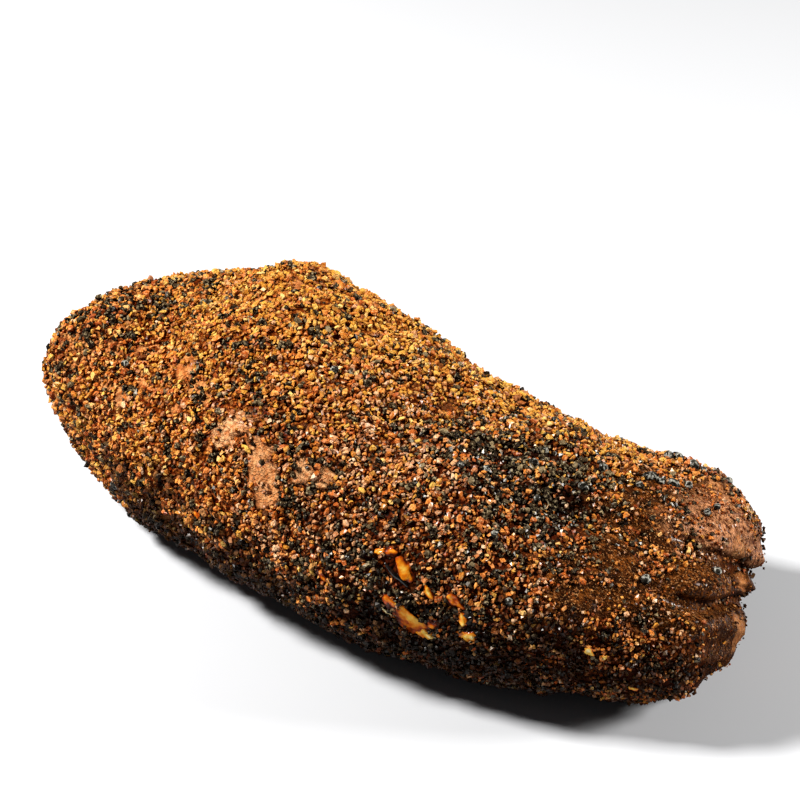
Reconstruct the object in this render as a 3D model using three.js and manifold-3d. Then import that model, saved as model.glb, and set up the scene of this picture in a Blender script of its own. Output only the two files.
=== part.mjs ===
// A whole roast of beef under a crust of cracked pepper, lying on its flat underside.
// Sizes are millimetres and +Z is up. The thick end lies towards -X, and the thin end,
// where the muscles part into three lobes, towards +X.
import * as THREE from 'three';
import * as BufferGeometryUtils from 'three/addons/utils/BufferGeometryUtils.js';
import Module from 'manifold-3d';

// Driving sizes of the plain form, at eight stations from the thick end to the thin end
const HALF_LENGTH = 185;
const HALF_WIDTHS = [34, 86, 89, 85, 84, 78, 78, 82];
const TOP_HEIGHTS = [142, 119, 133, 127, 113, 106, 93, 82];
const CENTRE_LINE = [-38, 1, 6, -1, -3, 1, 18, 36];

// How square the form is: 2 is an ellipse and a higher number is nearer a box
const THICK_END_SQUARENESS = 3.1;
const THIN_END_SQUARENESS = 4.6;
const SECTION_SQUARENESS = 2.2;

// How far each end slants along X from one side of the roast to the other
const THICK_END_SLANT = -33;
const THIN_END_SLANT = -18;

// The widest line of a section is this share of its height above the table
const WIDEST_AT = 0.44;
// The round belly would reach this far below the table, so its weight presses it flat
const PRESSED_FLAT = 8;

// The form is moved so that the middle of its box lies on the origin
const MIDDLE_X = -2.19;
const MIDDLE_Y = 3.57;

// Slow lumps of the meat: how many waves, their longest and shortest length, and their height
const LUMP_WAVES = 14;
const LONGEST_LUMP = 90;
const SHORTEST_LUMP = 22;
const LUMP_HEIGHT = 1.2;
const LUMP_GROWTH = 0.9;

// Two clefts part the thin end into three lobes. Each lies in a plane that climbs towards -Y.
const CLEFTS = [
  { climb: 0.93, height: 94, depth: 7.5, halfWidth: 4.6, starts: [150, 172] },
  { climb: 0.69, height: 60, depth: 8, halfWidth: 4.0, starts: [163, 185] },
];

// The upper cleft runs on along the top as a valley with a steep lip on its far side.
// Its line passes through x, y and moves run mm along Y for each mm along X.
const VALLEY = { x: 85, y: -31, run: 0.66, depth: 5, nearWidth: 20, farWidth: 9 };
const VALLEY_STARTS = [55, 95];
const VALLEY_ENDS = [150, 175];
const VALLEY_LIP = { offset: 22, height: 2.5, halfWidth: 14 };
const LIP_STARTS = [70, 110];
// Above this height the surface counts as the top
const TOP_STARTS = [45, 75];

// Swellings and hollows: middle, reach along X, Y and Z, and height above the plain form
const SWELLINGS = [
  { at: [142, 86, 66], reach: [24, 22, 20], height: 3.8 },
  { at: [164, 90, 62], reach: [14, 18, 14], height: -2.5 },
  { at: [172, 66, 30], reach: [14, 14, 9], height: 4.5 },
  { at: [99, 61, 88], reach: [24, 22, 20], height: -2.5 },
  { at: [185, 30, 10], reach: [30, 30, 14], height: 4 },
  { at: [112, -48, 4], reach: [22, 22, 14], height: -2 },
  { at: [-191, -30, 104], reach: [18, 22, 14], height: -1.2 },
  { at: [-191, -34, 66], reach: [22, 24, 18], height: 7.5 },
  { at: [-185, -37, 30], reach: [20, 22, 14], height: -2.5 },
  { at: [-140, -53, 26], reach: [22, 24, 20], height: 2 },
  { at: [-161, 15, 105], reach: [22, 26, 22], height: 1.5 },
  { at: [-118, 45, 112], reach: [13, 30, 30], height: -3 },
  { at: [-75, 66, 117], reach: [22, 22, 24], height: -2.5 },
  { at: [-90, 42, 122], reach: [20, 24, 26], height: 3.5 },
];

// Long muscle ridges that show where the crust is thin, towards the thin end
const RIDGE_SPACING = 21;
const RIDGE_HEIGHT = 0.7;
const RIDGE_CLIMB = 0.8;
const RIDGE_DRIFT = 0.03;
const RIDGES_START = [70, 130];

// Facets along one edge of the starting icosahedron, and how far they crowd to the thin end
const FACET_ROWS = 13;
const THIN_END_CROWDING = 0.3;

// The largest grains of the crust. The finer ones are too many for one solid.
const PEPPERCORN_COUNT = 42;
const CHIP_COUNT = 124;
const PEPPERCORN_RADIUS = [2.3, 2.8];
const PEPPERCORN_FLATNESS = 0.92;
const CHIP_RADIUS = [2.5, 3.3];
// A chip's width and thickness as shares of its length, and how far its corners stray
const CHIP_WIDTH = [0.7, 0.9];
const CHIP_THICKNESS = 0.72;
const CORNER_STRETCH = [0.82, 1.18];
const GRAIN_SPACING = 20;
const LOWEST_GRAIN = 9;
const SUNK_SHARE = 0.35;
const SEED = 20;

// Bare places where the crust has rubbed off: middle and radius
const BARE_PATCHES = [
  { at: [-48, -65, 105], radius: 14 },
  { at: [-23, -67, 97], radius: 15 },
  { at: [10, -59, 100], radius: 9 },
  { at: [-91, -43, 117], radius: 9 },
  { at: [-97, -55, 105], radius: 8 },
  { at: [-74, 18, 131], radius: 9 },
];

// Colour and finish of the crust as a whole
const CRUST_COLOUR = 0x6e4423;
const CRUST_ROUGHNESS = 0.62;

// A value between two limits, eased at both ends
function ease([from, to], value) {
  return THREE.MathUtils.smoothstep(value, from, to);
}

// A bell of height 1 that falls to a third at one half-width
function bell(distance, halfWidth) {
  return Math.exp(-((distance / halfWidth) ** 2));
}

// A smooth curve through evenly spaced stations, for u from -1 to 1
function along(stations, u) {
  const last = stations.length - 1;
  const place = THREE.MathUtils.clamp((u + 1) / 2 * last, 0, last - 1e-6);
  const i = Math.floor(place);
  const t = place - i;
  const before = stations[Math.max(i - 1, 0)];
  const start = stations[i];
  const end = stations[i + 1];
  const after = stations[Math.min(i + 2, last)];
  const bend = 3 * (start - end) + after - before;
  const curve = 2 * before - 5 * start + 4 * end - after;
  return start + 0.5 * t * (end - before + t * (curve + t * bend));
}

// The point of the plain form that lies in one direction from its middle
function plainPoint(direction) {
  const ring = Math.hypot(direction.y, direction.z);
  const square = direction.x < 0 ? THICK_END_SQUARENESS : THIN_END_SQUARENESS;
  const reach = (Math.abs(direction.x) ** square + ring ** square) ** (-1 / square);
  const u = direction.x * reach;
  const side = ring > 1e-6 ? direction.y / ring : 1;
  const rise = ring > 1e-6 ? direction.z / ring : 0;
  const n = SECTION_SQUARENESS;
  const round = (Math.abs(side) ** n + Math.abs(rise) ** n) ** (-1 / n) * ring * reach;
  const v = side * round;
  const w = rise * round;
  const top = along(TOP_HEIGHTS, u);
  const middle = WIDEST_AT * top;
  const slant = (u < 0 ? THICK_END_SLANT : THIN_END_SLANT) * Math.abs(u);
  return new THREE.Vector3(
    HALF_LENGTH * u + slant * v,
    along(CENTRE_LINE, u) + along(HALF_WIDTHS, u) * v,
    middle + (w > 0 ? top - middle : middle + PRESSED_FLAT) * w,
  );
}

// Slow lumps: sine waves in directions spread over a sphere, the long ones the highest.
// The golden angle and the golden share keep the directions and phases from repeating.
const GOLDEN_ANGLE = 2.399963;
const GOLDEN_SHARE = 0.618034;
const FIRST_SHARE = 0.37;
const TURN_RATE = 1.7;
const PHASE_RATE = 3.1;

function lumps(point) {
  let sum = 0;
  let power = 0;
  for (let i = 0; i < LUMP_WAVES; i += 1) {
    const share = (i + 0.5) / LUMP_WAVES;
    const length = LONGEST_LUMP * (SHORTEST_LUMP / LONGEST_LUMP) ** share;
    const phase = GOLDEN_ANGLE * (i + 1);
    const z = 1 - 2 * ((i * GOLDEN_SHARE + FIRST_SHARE) % 1);
    const r = Math.sqrt(1 - z * z);
    const turn = phase * TURN_RATE;
    const way = new THREE.Vector3(r * Math.cos(turn), r * Math.sin(turn), z);
    const height = length ** LUMP_GROWTH;
    sum += height * Math.sin(point.dot(way) * 2 * Math.PI / length + phase * PHASE_RATE);
    power += height * height / 2;
  }
  return LUMP_HEIGHT * sum / Math.sqrt(power);
}

// How far the surface stands above the plain form at one point of it
function relief(point) {
  const { x, y, z } = point;
  const onTop = ease(TOP_STARTS, z);
  let height = lumps(point);
  for (const cleft of CLEFTS) {
    const offPlane = (z + cleft.climb * y - cleft.height) / Math.hypot(1, cleft.climb);
    height -= cleft.depth * ease(cleft.starts, x) * bell(offPlane, cleft.halfWidth);
  }
  const across = y - VALLEY.y - VALLEY.run * (x - VALLEY.x);
  const valleyWidth = across > 0 ? VALLEY.farWidth : VALLEY.nearWidth;
  const valleyPart = ease(VALLEY_STARTS, x) * (1 - ease(VALLEY_ENDS, x)) * onTop;
  height -= VALLEY.depth * valleyPart * bell(across, valleyWidth);
  const lip = bell(across - VALLEY_LIP.offset, VALLEY_LIP.halfWidth);
  height += VALLEY_LIP.height * ease(LIP_STARTS, x) * onTop * lip;
  for (const swelling of SWELLINGS) {
    const off = [x, y, z].map((value, k) => (value - swelling.at[k]) / swelling.reach[k]);
    height += swelling.height * bell(Math.hypot(...off), 1);
  }
  const ridge = Math.sin((z + RIDGE_CLIMB * y) * 2 * Math.PI / RIDGE_SPACING + RIDGE_DRIFT * x);
  height += RIDGE_HEIGHT * ease(RIDGES_START, x) * ridge;
  return height;
}

// A geometry with only its positions left and its shared corners merged
function merged(geometry) {
  geometry.deleteAttribute('normal');
  geometry.deleteAttribute('uv');
  return BufferGeometryUtils.mergeVertices(geometry, 1e-4);
}

// The meat: an icosahedron's directions laid on the form, raised by the relief, flat below
function meatGeometry() {
  const geometry = merged(new THREE.IcosahedronGeometry(1, FACET_ROWS));
  const position = geometry.getAttribute('position');
  const direction = new THREE.Vector3();
  for (let i = 0; i < position.count; i += 1) {
    direction.fromBufferAttribute(position, i);
    direction.x += THIN_END_CROWDING;
    const point = plainPoint(direction.normalize());
    position.setXYZ(i, point.x, point.y, point.z);
  }
  geometry.computeVertexNormals();
  const normal = geometry.getAttribute('normal');
  const outward = new THREE.Vector3();
  const point = new THREE.Vector3();
  for (let i = 0; i < position.count; i += 1) {
    point.fromBufferAttribute(position, i);
    outward.fromBufferAttribute(normal, i);
    point.addScaledVector(outward, relief(point));
    position.setXYZ(i, point.x - MIDDLE_X, point.y - MIDDLE_Y, Math.max(point.z, 0));
  }
  geometry.deleteAttribute('normal');
  return geometry;
}

// A small seeded generator, so that the crust is the same each time
function seededRandom(seed) {
  let state = seed;
  return () => {
    state = (state + 0x6d2b79f5) | 0;
    let mixed = Math.imul(state ^ (state >>> 15), 1 | state);
    mixed = (mixed + Math.imul(mixed ^ (mixed >>> 7), 61 | mixed)) ^ mixed;
    return ((mixed ^ (mixed >>> 14)) >>> 0) / 4294967296;
  };
}
const random = seededRandom(SEED);

function between([low, high]) {
  return low + (high - low) * random();
}

// True where the real crust has large grains: not underneath and not on a bare patch
function takesGrain(point) {
  if (point.z < LOWEST_GRAIN) return false;
  return BARE_PATCHES.every(({ at, radius }) => {
    const middle = new THREE.Vector3(at[0] - MIDDLE_X, at[1] - MIDDLE_Y, at[2]);
    return middle.distanceTo(point) > radius;
  });
}

// Places for the grains: random points spread evenly over the faces and kept apart
function grainPlaces(geometry, count) {
  const position = geometry.getAttribute('position');
  const index = geometry.getIndex();
  const faces = [];
  let total = 0;
  for (let i = 0; i < index.count; i += 3) {
    const face = new THREE.Triangle();
    face.setFromAttributeAndIndices(position, index.getX(i), index.getX(i + 1), index.getX(i + 2));
    total += face.getArea();
    faces.push({ face, upTo: total });
  }
  const places = [];
  while (places.length < count) {
    // the face under a random share of the whole area, found by halving
    const target = random() * total;
    let low = 0;
    let high = faces.length - 1;
    while (low < high) {
      const middle = (low + high) >> 1;
      if (faces[middle].upTo < target) low = middle + 1;
      else high = middle;
    }
    const { face } = faces[low];
    let s = random();
    let t = random();
    if (s + t > 1) {
      s = 1 - s;
      t = 1 - t;
    }
    const point = face.a.clone()
      .addScaledVector(face.b.clone().sub(face.a), s)
      .addScaledVector(face.c.clone().sub(face.a), t);
    const clear = places.every((place) => place.point.distanceTo(point) > GRAIN_SPACING);
    if (clear && takesGrain(point)) places.push({ point, normal: face.getNormal(new THREE.Vector3()) });
  }
  return places;
}

// A whole peppercorn, nearly round
function peppercornGeometry() {
  const geometry = merged(new THREE.DodecahedronGeometry(between(PEPPERCORN_RADIUS), 0));
  geometry.scale(1, 1, PEPPERCORN_FLATNESS);
  return geometry;
}

// A cracked chip: an icosahedron with each corner moved in or out, wider than it is thick
function chipGeometry() {
  const geometry = merged(new THREE.IcosahedronGeometry(1, 0));
  const position = geometry.getAttribute('position');
  for (let i = 0; i < position.count; i += 1) {
    const stretch = between(CORNER_STRETCH);
    position.setXYZ(i, position.getX(i) * stretch, position.getY(i) * stretch, position.getZ(i) * stretch);
  }
  const radius = between(CHIP_RADIUS);
  geometry.scale(radius, radius * between(CHIP_WIDTH), radius * CHIP_THICKNESS);
  return geometry;
}

// Sets one grain on the meat, turned at random and sunk by a share of its size
function setOnMeat(geometry, { point, normal }) {
  const up = new THREE.Vector3(0, 0, 1);
  const lean = new THREE.Quaternion().setFromUnitVectors(up, normal);
  const spin = new THREE.Quaternion().setFromAxisAngle(up, random() * 2 * Math.PI);
  geometry.applyQuaternion(lean.multiply(spin));
  geometry.computeBoundingSphere();
  const raise = geometry.boundingSphere.radius * (0.5 - SUNK_SHARE);
  const seat = point.clone().addScaledVector(normal, raise);
  geometry.translate(seat.x, seat.y, seat.z);
  return geometry;
}

const wasm = await Module();
wasm.setup();

// A closed, merged geometry as a solid that can be joined
function solid(geometry) {
  const vertProperties = new Float32Array(geometry.getAttribute('position').array);
  const triVerts = new Uint32Array(geometry.getIndex().array);
  return new wasm.Manifold(new wasm.Mesh({ numProp: 3, vertProperties, triVerts }));
}

// A joined solid back as a geometry with flat shading
function geometryOf(joined) {
  const mesh = joined.getMesh();
  const geometry = new THREE.BufferGeometry();
  geometry.setAttribute('position', new THREE.BufferAttribute(mesh.vertProperties, 3));
  geometry.setIndex(new THREE.BufferAttribute(mesh.triVerts, 1));
  geometry.computeVertexNormals();
  return geometry;
}

// The roast: the meat and its largest grains as one solid
const meat = meatGeometry();
const places = grainPlaces(meat, PEPPERCORN_COUNT + CHIP_COUNT);
let joined = solid(meat);
places.forEach((place, i) => {
  const grain = i < PEPPERCORN_COUNT ? peppercornGeometry() : chipGeometry();
  joined = joined.add(solid(setOnMeat(grain, place)));
});

const crust = new THREE.MeshStandardMaterial({
  color: CRUST_COLOUR,
  roughness: CRUST_ROUGHNESS,
  metalness: 0,
});
const roast = new THREE.Mesh(geometryOf(joined), crust);
roast.name = 'roast';

const group = new THREE.Group();
group.add(roast);

export default group;
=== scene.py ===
# %% [markdown]
# # A peppered roast of beef
#
# This lesson dresses one piece of food: a whole roast of beef that was rolled in cracked pepper and
# cooked until the crust went dark. Close up, the real thing is two very different surfaces. Below lies
# the meat, a big soft form with muscle folds at its thin end. On it lies the crust, tens of thousands
# of loose looking grains: black cracked pepper, golden chips, rusty brown crumbs.
#
# A texture could fake the grains, but every edge of this food is ragged, and its gaps are deep enough
# to be black. So the grains here are real meshes, made thousands at a time with arrays of numbers.

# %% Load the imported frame
import math

import bpy
import numpy as np
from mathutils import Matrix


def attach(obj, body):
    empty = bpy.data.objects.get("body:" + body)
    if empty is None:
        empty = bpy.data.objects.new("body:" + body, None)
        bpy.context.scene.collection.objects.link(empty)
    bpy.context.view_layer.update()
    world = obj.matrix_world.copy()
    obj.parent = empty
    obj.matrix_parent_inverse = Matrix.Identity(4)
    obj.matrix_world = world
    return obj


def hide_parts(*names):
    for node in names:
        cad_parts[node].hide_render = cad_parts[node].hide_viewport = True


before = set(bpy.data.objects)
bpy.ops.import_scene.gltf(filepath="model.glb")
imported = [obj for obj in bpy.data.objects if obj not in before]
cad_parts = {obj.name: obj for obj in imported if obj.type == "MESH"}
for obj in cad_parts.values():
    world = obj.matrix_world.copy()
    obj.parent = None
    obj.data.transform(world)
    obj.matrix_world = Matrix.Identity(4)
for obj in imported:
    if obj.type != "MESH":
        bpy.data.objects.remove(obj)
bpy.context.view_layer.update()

MM = 0.001
NODE = "roast"
random = np.random.default_rng(41)

# %% [markdown]
# ## The sizes of the meat
#
# The form is the same as the solid's: eight stations along the length, each with a half-width, a top
# height and a place for its centre. Working from the same named sizes keeps the dressed roast within
# 2 mm of the solid's box, so nothing needs fitting afterwards. All lengths of the form are in mm.
# MIDDLE is the middle of the form's outline, which is the part's own origin.

# %% Sizes of the form
HALF_LENGTH = 185.0
HALF_WIDTHS = [34, 86, 89, 85, 84, 78, 78, 82]
TOP_HEIGHTS = [142, 119, 133, 127, 113, 106, 93, 82]
CENTRE_LINE = [-38, 1, 6, -1, -3, 1, 18, 36]
THICK_END_SQUARENESS = 3.1
THIN_END_SQUARENESS = 4.6
SECTION_SQUARENESS = 2.2
THICK_END_SLANT = -33.0
THIN_END_SLANT = -18.0
WIDEST_AT = 0.44
PRESSED_FLAT = 8.0
MIDDLE = np.array([-2.19, 3.57, 0.0])


# %% Small curves that the form is written in
def ease(limits, value):
    """Rises from 0 to 1 between two limits, level at both ends."""
    share = np.clip((value - limits[0]) / (limits[1] - limits[0]), 0, 1)
    return share * share * (3 - 2 * share)


def bell(distance, half_width):
    """A bump of height 1 that falls to a third at one half-width."""
    return np.exp(-((distance / half_width) ** 2))


def along(stations, u):
    """A smooth curve through evenly spaced stations, for u from -1 to 1."""
    stations = np.asarray(stations, float)
    last = len(stations) - 1
    place = np.clip((u + 1) / 2 * last, 0, last - 1e-6)
    i = place.astype(int)
    t = place - i
    before, start = stations[np.maximum(i - 1, 0)], stations[i]
    end, after = stations[i + 1], stations[np.minimum(i + 2, last)]
    bend = 3 * (start - end) + after - before
    curve = 2 * before - 5 * start + 4 * end - after
    return start + 0.5 * t * (end - before + t * (curve + t * bend))


def plain_form(directions):
    """The points of the smooth form that lie in some directions from its middle, in mm."""
    dx, dy, dz = directions.T
    ring = np.hypot(dy, dz)
    square = np.where(dx < 0, THICK_END_SQUARENESS, THIN_END_SQUARENESS)
    reach = (np.abs(dx) ** square + ring ** square) ** (-1 / square)
    u = dx * reach
    side = np.where(ring > 1e-6, dy / np.maximum(ring, 1e-6), 1.0)
    rise = np.where(ring > 1e-6, dz / np.maximum(ring, 1e-6), 0.0)
    n = SECTION_SQUARENESS
    rounded = (np.abs(side) ** n + np.abs(rise) ** n) ** (-1 / n) * ring * reach
    v, w = side * rounded, rise * rounded
    top = along(TOP_HEIGHTS, u)
    middle = WIDEST_AT * top
    slant = np.where(u < 0, THICK_END_SLANT, THIN_END_SLANT) * np.abs(u)
    return np.stack([
        HALF_LENGTH * u + slant * v,
        along(CENTRE_LINE, u) + along(HALF_WIDTHS, u) * v,
        middle + np.where(w > 0, top - middle, middle + PRESSED_FLAT) * w,
    ], axis=1)


# %% [markdown]
# ## Lobes, clefts and lumps
#
# A roast isn't smooth: the muscles part at the thin end, a valley runs back along the top, and slow
# lumps cover the rest. Each is one term of a height that is added along the surface's normal. The
# terms are summed in one function, so each can be tuned without touching the others.

# %% Slow lumps all over
LUMP_WAVES = 14
LONGEST_LUMP = 90.0
SHORTEST_LUMP = 22.0
LUMP_HEIGHT = 1.2
LUMP_GROWTH = 0.9
GOLDEN_ANGLE = 2.399963
GOLDEN_SHARE = 0.618034
FIRST_SHARE = 0.37
TURN_RATE = 1.7
PHASE_RATE = 3.1


def lumps(points):
    """Slow sine waves in directions spread over a sphere, the long ones the highest."""
    total, power = np.zeros(len(points)), 0.0
    for i in range(LUMP_WAVES):
        length = LONGEST_LUMP * (SHORTEST_LUMP / LONGEST_LUMP) ** ((i + 0.5) / LUMP_WAVES)
        phase = GOLDEN_ANGLE * (i + 1)
        z = 1 - 2 * ((i * GOLDEN_SHARE + FIRST_SHARE) % 1)
        r = math.sqrt(1 - z * z)
        turn = phase * TURN_RATE
        way = np.array([r * math.cos(turn), r * math.sin(turn), z])
        height = length ** LUMP_GROWTH
        total += height * np.sin(points @ way * 2 * math.pi / length + phase * PHASE_RATE)
        power += height * height / 2
    return LUMP_HEIGHT * total / math.sqrt(power)


# %% Clefts, the valley and the swellings
CLEFTS = [
    dict(climb=0.93, height=94.0, depth=7.5, half_width=4.6, starts=(150, 172)),
    dict(climb=0.69, height=60.0, depth=8.0, half_width=4.0, starts=(163, 185)),
]
VALLEY = dict(x=85.0, y=-31.0, run=0.66, depth=5.0, near_width=20.0, far_width=9.0)
VALLEY_STARTS = (55, 95)
VALLEY_ENDS = (150, 175)
VALLEY_LIP = dict(offset=22.0, height=2.5, half_width=14.0)
LIP_STARTS = (70, 110)
TOP_STARTS = (45, 75)
SWELLINGS = [
    dict(at=(142, 86, 66), reach=(24, 22, 20), height=3.8),
    dict(at=(164, 90, 62), reach=(14, 18, 14), height=-2.5),
    dict(at=(172, 66, 30), reach=(14, 14, 9), height=4.5),
    dict(at=(99, 61, 88), reach=(24, 22, 20), height=-2.5),
    dict(at=(185, 30, 10), reach=(30, 30, 14), height=4.0),
    dict(at=(112, -48, 4), reach=(22, 22, 14), height=-2.0),
    dict(at=(-191, -30, 104), reach=(18, 22, 14), height=-1.2),
    dict(at=(-191, -34, 66), reach=(22, 24, 18), height=7.5),
    dict(at=(-185, -37, 30), reach=(20, 22, 14), height=-2.5),
    dict(at=(-140, -53, 26), reach=(22, 24, 20), height=2.0),
    dict(at=(-161, 15, 105), reach=(22, 26, 22), height=1.5),
    dict(at=(-118, 45, 112), reach=(13, 30, 30), height=-3.0),
    dict(at=(-75, 66, 117), reach=(22, 22, 24), height=-2.5),
    dict(at=(-90, 42, 122), reach=(20, 24, 26), height=3.5),
]
RIDGE_SPACING = 21.0
RIDGE_HEIGHT = 0.7
RIDGE_CLIMB = 0.8
RIDGE_DRIFT = 0.03
RIDGES_START = (70, 130)


def across_valley(points):
    """How far points lie past the valley's line, towards the far side, in mm."""
    return points[:, 1] - VALLEY["y"] - VALLEY["run"] * (points[:, 0] - VALLEY["x"])


def off_cleft(points, cleft):
    """How far points lie above a cleft's plane, in mm."""
    climb = cleft["climb"]
    return (points[:, 2] + climb * points[:, 1] - cleft["height"]) / math.hypot(1, climb)


def near(points, at, reach):
    """1 at a place and falling to 0 around it, with a reach for each axis, in mm."""
    off = (points - np.array(at, float)) / np.array(reach, float)
    return np.exp(-(off ** 2).sum(axis=1))


def relief(points):
    """How far the surface stands above the plain form, in mm."""
    x, y, z = points.T
    on_top = ease(TOP_STARTS, z)
    height = lumps(points)
    for cleft in CLEFTS:
        groove = bell(off_cleft(points, cleft), cleft["half_width"])
        height -= cleft["depth"] * ease(cleft["starts"], x) * groove
    across = across_valley(points)
    width = np.where(across > 0, VALLEY["far_width"], VALLEY["near_width"])
    part = ease(VALLEY_STARTS, x) * (1 - ease(VALLEY_ENDS, x)) * on_top
    height -= VALLEY["depth"] * part * bell(across, width)
    lip = bell(across - VALLEY_LIP["offset"], VALLEY_LIP["half_width"])
    height += VALLEY_LIP["height"] * ease(LIP_STARTS, x) * on_top * lip
    for swelling in SWELLINGS:
        height += swelling["height"] * near(points, swelling["at"], swelling["reach"])
    ridge = np.sin((z + RIDGE_CLIMB * y) * 2 * math.pi / RIDGE_SPACING + RIDGE_DRIFT * x)
    return height + RIDGE_HEIGHT * ease(RIDGES_START, x) * ridge


# %% [markdown]
# ## Noise from whole numbers
#
# Crust and muscle fibre need noise in the mesh itself. Blender's noise module works on one point at a
# time, which is slow for a hundred thousand. This version mixes each cell's whole numbers into a
# random looking value and blends the eight corners of the cell, for all points in one go.

# %% Noise on arrays
X_FACTOR, Y_FACTOR, Z_FACTOR, SEED_FACTOR = 374761393, 668265263, 974634777, 69069
FIRST_SCRAMBLE, SECOND_SCRAMBLE = 1274126177, 2246822519
ALL_BITS, KEPT_BITS = 0xFFFFFFFF, 0xFFFFFF


def cell_value(cell, seed):
    """A value from 0 to 1 for each whole-numbered cell, the same each run."""
    mixed = cell[:, 0] * X_FACTOR + cell[:, 1] * Y_FACTOR + cell[:, 2] * Z_FACTOR + seed * SEED_FACTOR
    mixed = mixed & ALL_BITS
    mixed = ((mixed ^ (mixed >> 13)) * FIRST_SCRAMBLE) & ALL_BITS
    mixed = ((mixed ^ (mixed >> 15)) * SECOND_SCRAMBLE) & ALL_BITS
    return ((mixed ^ (mixed >> 16)) & KEPT_BITS) / KEPT_BITS


def noise(points, size, seed):
    """Smooth noise from -1 to 1, with one size for its blotches or one for each axis, in mm."""
    scaled = points / np.array(size, float)
    base = np.floor(scaled).astype(np.int64)
    t = scaled - base
    t = t * t * (3 - 2 * t)
    total = np.zeros(len(points))
    for corner in np.ndindex(2, 2, 2):
        share = np.prod(np.where(np.array(corner) == 1, t, 1 - t), axis=1)
        total += share * cell_value(base + np.array(corner), seed)
    return 2 * total - 1


def two_noises(points, coarse, fine, seed, share=0.6):
    """Noise in blotches of two sizes, the fine ones weaker."""
    return noise(points, coarse, seed) + share * noise(points, fine, seed + 1)


# %% [markdown]
# ## Where the meat is bare
#
# The crust has rubbed off in a few places, and towards the thin end it thins out until brown, fibrous
# meat shows between single grains. One mask says how bare a place is, from 0 to 1. The mesh, the
# material and the scattering all read it, which is why they agree.

# %% Patches that have rubbed bare
BARE_PATCHES = [
    dict(at=(-52, -66, 106), radius=8.5, pale=0.9),
    dict(at=(-44, -62, 109), radius=6.0, pale=0.8),
    dict(at=(-29, -69, 103), radius=8.0, pale=0.5),
    dict(at=(-22, -74, 96), radius=7.0, pale=0.5),
    dict(at=(-16, -79, 88), radius=5.0, pale=0.4),
    dict(at=(-2, -66, 101), radius=5.5, pale=0.7),
    dict(at=(8, -63, 101), radius=5.5, pale=0.7),
    dict(at=(-93, -41, 115), radius=7.5, pale=0.0),
    dict(at=(-122, -62, 95), radius=6.0, pale=0.4),
    dict(at=(-74, 26, 131), radius=6.5, pale=0.1),
    dict(at=(-84, -6, 130), radius=3.5, pale=0.2),
    dict(at=(150, 68, 75), radius=5.0, pale=0.5),
    dict(at=(160, 62, 72), radius=7.0, pale=0.5),
    dict(at=(176, 46, 60), radius=7.0, pale=0.5),
    dict(at=(186, 36, 19), radius=8.0, pale=0.3),
    # This patch on the middle lobe also stands in for light falling there: its paler colour is partly a
    # painted highlight.
    dict(at=(180, 50, 42), radius=5.0, pale=0.1),
]
PATCH_RAGGED = 4.5
RIM_INSIDE, RIM_OUTSIDE = 1.5, 2.5


def patch_mask(points):
    """1 inside the rubbed patches, with ragged rims."""
    mask = np.zeros(len(points))
    ragged = PATCH_RAGGED * two_noises(points, 9, 4, 3)
    for patch in BARE_PATCHES:
        distance = np.linalg.norm(points - np.array(patch["at"], float), axis=1) + ragged
        rim = (patch["radius"] - RIM_INSIDE, patch["radius"] + RIM_OUTSIDE)
        mask = np.maximum(mask, 1 - ease(rim, distance))
    return mask


def pale_share(points):
    """How pale the meat of the nearest patch is: orange where spice stains it, tan where it is clean."""
    places = np.array([patch["at"] for patch in BARE_PATCHES], float)
    nearest = np.linalg.norm(points[:, None] - places[None], axis=2).argmin(axis=1)
    return np.array([patch["pale"] for patch in BARE_PATCHES])[nearest]


# %% Areas dark with pepper
DARK_AREAS = [
    dict(share=1.5, at=(88, -6, 100), reach=(42, 28, 40)),
    dict(share=0.8, at=(62, -75, 55), reach=(50, 30, 30)),
    dict(share=0.45, at=(-152, 22, 105), reach=(26, 42, 22)),
    dict(share=0.6, at=(93, -9, 99), reach=(18, 18, 16)),
    dict(share=0.4, at=(-164, -25, 108), reach=(26, 34, 24)),
]
SHADED_ALONG, SHADED_MOST = (-50, 30), 0.6


def dark_share(points):
    """About 1 where black pepper crowds: the hollow, the lower middle and the thick end's rim."""
    total = np.zeros(len(points))
    for area in DARK_AREAS:
        total += area["share"] * near(points, area["at"], area["reach"])
    return total


def shade_share(points):
    """1 where the ground between the grains is nearly black: from the middle to the thin end."""
    return np.maximum(np.minimum(dark_share(points), 1), SHADED_MOST * ease(SHADED_ALONG, points[:, 0]))


# %% Where grains have come off
RUBBED_SPOTS, PITS = (0.36, 0.56), (0.26, 0.5)
RUBBED_ALONG, RUBBED_LEAST = (10, -90), 0.15
LESS_WHERE_DARK = 0.8


def rubbed_share(points):
    """1 where grains have fallen off and the smooth rusty paste under them shows."""
    spots = ease(RUBBED_SPOTS, two_noises(points, 10, 4.5, 51))
    zone = RUBBED_LEAST + (1 - RUBBED_LEAST) * ease(RUBBED_ALONG, points[:, 0])
    return spots * zone * (1 - LESS_WHERE_DARK * np.minimum(dark_share(points), 1))


def pit_share(points):
    """1 in small dark pits, where a group of grains has come off together."""
    return ease(PITS, two_noises(points, 5.0, 2.6, 53))


# %% The thin end
THIN_FRONT = dict(at=(160, -2, 74), reach=(44, 32, 30))
THIN_HOLLOW = dict(at=(126, -34, 82), reach=(30, 16, 22))
HOLLOW_SHARE = 0.55
THIN_RIM = (0.22, 0.55)
THIN_TOP = dict(x=(112, 136), z=(58, 72))
THIN_TIP = dict(x=(164, 180), y=(-30, 2))


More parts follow.
